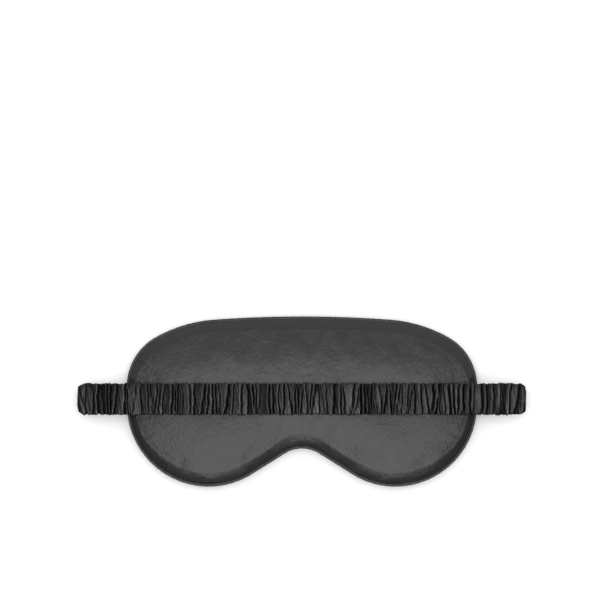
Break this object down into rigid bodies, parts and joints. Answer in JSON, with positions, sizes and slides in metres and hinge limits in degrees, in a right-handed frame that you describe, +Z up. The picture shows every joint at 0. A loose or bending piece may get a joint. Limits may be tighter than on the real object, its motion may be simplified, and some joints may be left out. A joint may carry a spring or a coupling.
{
  "type": "sleep eye mask",
  "caption": "Padded satin sleep mask with a nose arch, a piped edge and a gathered elastic head strap folded across its back.",
  "frame": {"origin": "middle of the outline, on the table under the front panel", "axes": "+X to the right seen from the back panel, +Y towards the brow, +Z up through the back panel, the side that meets the face"},
  "size_m": [0.2692, 0.102, 0.0153],
  "materials": {
    "satin_front": "satin",
    "satin_back": "satin",
    "piping_satin": "satin",
    "strap_satin": "satin",
    "elastic": "woven",
    "wadding": "soft fibre",
    "lining": "plain weave",
    "cord": "twisted cotton",
    "thread": "spun thread"
  },
  "bodies": {
    "mask": {"front_cover": "satin_front", "back_cover": "satin_back", "front_padding": "wadding", "back_padding": "wadding", "blackout_liner": "lining", "piping_cover": "piping_satin", "piping_cord": "cord", "seam_stitches": "thread", "closing_stitches": "thread", "left_strap_end": "strap_satin", "right_strap_end": "strap_satin", "left_strap_tack": "thread", "right_strap_tack": "thread"},
    "left_tab": {"left_tab_sleeve": "strap_satin", "left_tab_elastic": "elastic"},
    "left_arm": {"left_arm_sleeve": "strap_satin", "left_arm_elastic": "elastic"},
    "left_span": {"left_span_sleeve": "strap_satin", "left_span_elastic": "elastic"},
    "strap_centre": {"strap_centre_sleeve": "strap_satin", "strap_centre_elastic": "elastic"},
    "right_span": {"right_span_sleeve": "strap_satin", "right_span_elastic": "elastic"},
    "right_arm": {"right_arm_sleeve": "strap_satin", "right_arm_elastic": "elastic"},
    "right_tab": {"right_tab_sleeve": "strap_satin", "right_tab_elastic": "elastic"}
  },
  "joints": [
    {"name": "strap_lift", "type": "hinge", "parent": "mask", "child": "left_tab", "pos_m": [-0.1056, 0.0016, 0.00825], "axis": [0, 1, 0], "range_deg": [0, 90]},
    {"name": "left_fold", "type": "hinge", "parent": "left_tab", "child": "left_arm", "pos_m": [-0.1346, 0.0016, 0.00845], "axis": [0, 1, 0], "range_deg": [-139.8, 0]},
    {"name": "left_bend", "type": "hinge", "parent": "left_arm", "child": "left_span", "pos_m": [-0.06, 0.0016, 0.0123], "axis": [0, 1, 0], "range_deg": [0, 49.8]},
    {"name": "strap_stretch", "type": "slide", "parent": "left_span", "child": "strap_centre", "axis": [0, 0, 1], "range_m": [0, 0.05], "stiffness_N_per_m": 15},
    {"name": "stretch_return", "type": "slide", "parent": "strap_centre", "child": "right_span", "axis": [0, 0, -1], "range_m": [0, 0.05]},
    {"name": "right_bend", "type": "hinge", "parent": "right_span", "child": "right_arm", "pos_m": [0.06, 0.0016, 0.0123], "axis": [0, 1, 0], "range_deg": [0, 49.8]},
    {"name": "right_fold", "type": "hinge", "parent": "right_arm", "child": "right_tab", "pos_m": [0.1346, 0.0016, 0.00845], "axis": [0, 1, 0], "range_deg": [-139.8, 0]}
  ],
  "couplings": [
    {"joint": "left_fold", "follows": "strap_lift", "ratio": -1.5513},
    {"joint": "left_bend", "follows": "strap_lift", "ratio": 0.5513},
    {"joint": "right_bend", "follows": "strap_lift", "ratio": 0.5513},
    {"joint": "right_fold", "follows": "strap_lift", "ratio": -1.5513},
    {"joint": "stretch_return", "follows": "strap_stretch", "ratio": 1}
  ]
}
